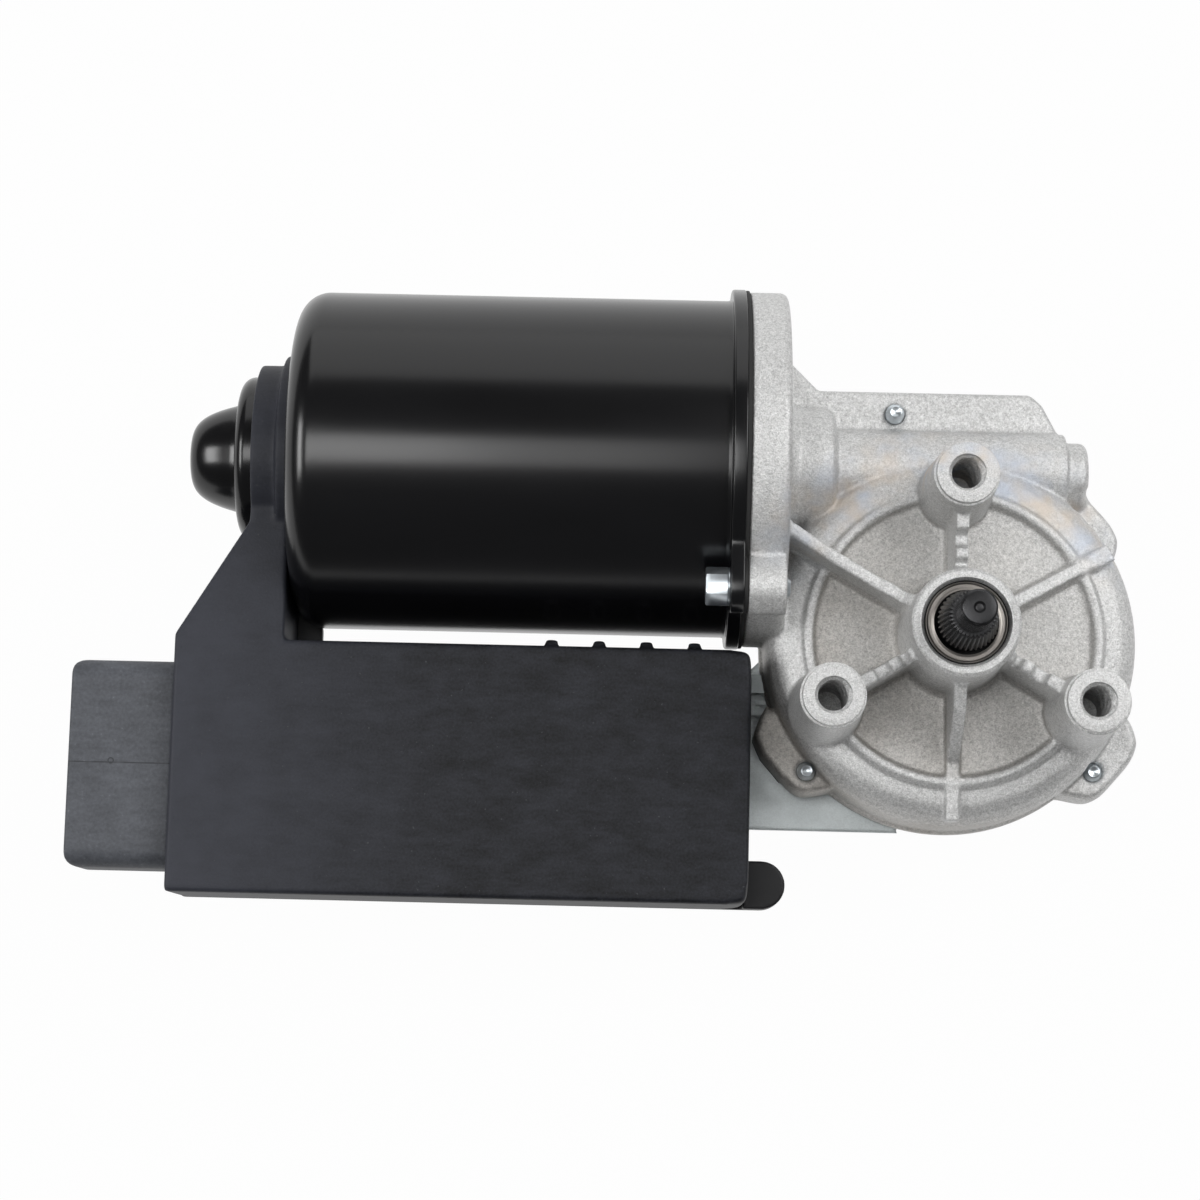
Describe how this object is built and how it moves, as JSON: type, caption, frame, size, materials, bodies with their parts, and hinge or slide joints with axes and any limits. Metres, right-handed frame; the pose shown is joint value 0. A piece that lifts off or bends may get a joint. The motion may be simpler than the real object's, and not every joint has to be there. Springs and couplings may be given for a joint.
{
  "type": "wiper motor",
  "caption": "Flanged worm-gear wiper motor with a drawn steel can, a die-cast gearbox with three threaded bosses, a splined output shaft and an attached control module with a plug socket.",
  "frame": {"origin": "on the output shaft's axis, in the plane of the three mounting boss faces", "axes": "+Z along the output shaft towards its threaded end, +X along the motor's axis away from the motor can, +Y from the output shaft towards the motor's axis"},
  "size_m": [0.2467, 0.1446, 0.1052],
  "materials": {
    "die_cast_aluminium": "bare die-cast, fine grain, slight staining",
    "sintered_bronze": "oil-filled sintered bronze",
    "seal_rubber": "matte black",
    "washer_steel": "turned steel, grey-brown",
    "zinc_plated_sheet": "zinc-plated pressed sheet",
    "gasket_rubber": "matte black sealing sheet",
    "zinc_screws": "bright zinc plate",
    "carrier_plastic": "moulded, matte",
    "contact_brass": "stamped brass",
    "hardened_steel": "ground",
    "black_lacquered_steel": "gloss black lacquer over drawn steel",
    "ferrite": "ground ferrite",
    "spring_steel": "blued spring steel",
    "card_plastic": "phenolic moulding",
    "carbon": "copper graphite",
    "choke_copper": "enamelled copper over ferrite",
    "lead_insulation": "flexible insulation",
    "charcoal_plastic": "fine-grained matte moulding",
    "base_plastic": "smooth matte moulding",
    "board_laminate": "green laminate",
    "relay_plastic": "moulded",
    "capacitor_sleeve": "shrunk sleeve",
    "chip_epoxy": "moulded epoxy",
    "connector_plastic": "smooth matte moulding",
    "tinned_pins": "tin plate",
    "phosphated_steel": "black phosphate, oiled",
    "wheel_nylon": "natural nylon",
    "lamination_steel": "stacked laminations, varnished",
    "enamelled_copper": "enamelled copper wire",
    "commutator_copper": "turned copper"
  },
  "bodies": {
    "housing": {"gear_housing": "die_cast_aluminium", "output_bushes": "sintered_bronze", "shaft_seal": "seal_rubber", "seal_washer": "washer_steel", "thrust_washer": "washer_steel", "cover_plate": "zinc_plated_sheet", "cover_gasket": "gasket_rubber", "cover_screws": "zinc_screws", "contact_carrier": "carrier_plastic", "park_contacts": "contact_brass", "park_lead_strip": "tinned_pins", "worm_end_bush": "sintered_bronze", "thrust_pad": "hardened_steel", "drive_end_bush": "sintered_bronze", "motor_can": "black_lacquered_steel", "can_gasket": "gasket_rubber", "motor_screws": "zinc_screws", "field_magnets": "ferrite", "magnet_clips": "spring_steel", "rear_bush": "sintered_bronze", "bush_retainer": "spring_steel", "brush_card": "card_plastic", "brush_holders": "contact_brass", "brushes": "carbon", "brush_springs": "spring_steel", "chokes": "choke_copper", "circuit_breaker": "carrier_plastic", "lead_grommet": "seal_rubber", "motor_leads": "lead_insulation", "module_case": "charcoal_plastic", "module_base": "base_plastic", "module_screws": "zinc_screws", "circuit_board": "board_laminate", "relays": "relay_plastic", "filter_capacitor": "capacitor_sleeve", "control_chip": "chip_epoxy", "connector_shroud": "connector_plastic", "connector_pins": "tinned_pins"},
    "output": {"output_shaft": "phosphated_steel", "wheel_hub": "hardened_steel", "worm_wheel": "wheel_nylon", "contact_disc": "contact_brass", "retaining_ring": "spring_steel"},
    "armature": {"armature_shaft": "hardened_steel", "armature_core": "lamination_steel", "armature_windings": "enamelled_copper", "commutator_bars": "commutator_copper", "commutator_hub": "card_plastic", "thrust_ball": "hardened_steel"}
  },
  "joints": [
    {"name": "armature_spin", "type": "hinge", "parent": "housing", "child": "armature", "pos_m": [0, 0.04025, -0.0395], "axis": [1, 0, 0], "continuous": true},
    {"name": "output_spin", "type": "hinge", "parent": "housing", "child": "output", "pos_m": [0, 0, 0], "axis": [0, 0, 1], "continuous": true}
  ],
  "couplings": [
    {"joint": "output_spin", "follows": "armature_spin", "ratio": 0.021739}
  ]
}
